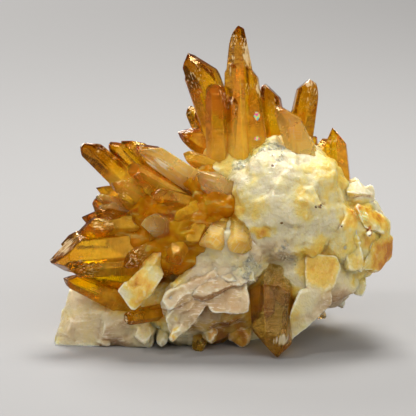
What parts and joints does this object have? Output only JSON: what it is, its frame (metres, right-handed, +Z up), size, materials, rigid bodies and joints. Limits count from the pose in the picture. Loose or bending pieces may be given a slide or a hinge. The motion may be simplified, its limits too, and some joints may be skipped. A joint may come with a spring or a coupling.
{
  "type": "golden healer quartz cluster",
  "caption": "One-piece mineral specimen: sprays of amber quartz points fused to a lump of milky quartz, standing on a flat.",
  "frame": {"origin": "centre of the cluster's bounding box, on the flat that it stands on", "axes": "+Z up, +X across the show face to the viewer's right, -Y towards the viewer of the show face"},
  "size_m": [0.1364, 0.0971, 0.1251],
  "materials": {
    "golden_quartz": "glossy crystal faces, amber and see-through",
    "milky_quartz": "waxy broken surface, cloudy white to cream"
  },
  "bodies": {
    "root": {"quartz_cluster": "golden_quartz"}
  },
  "joints": []
}
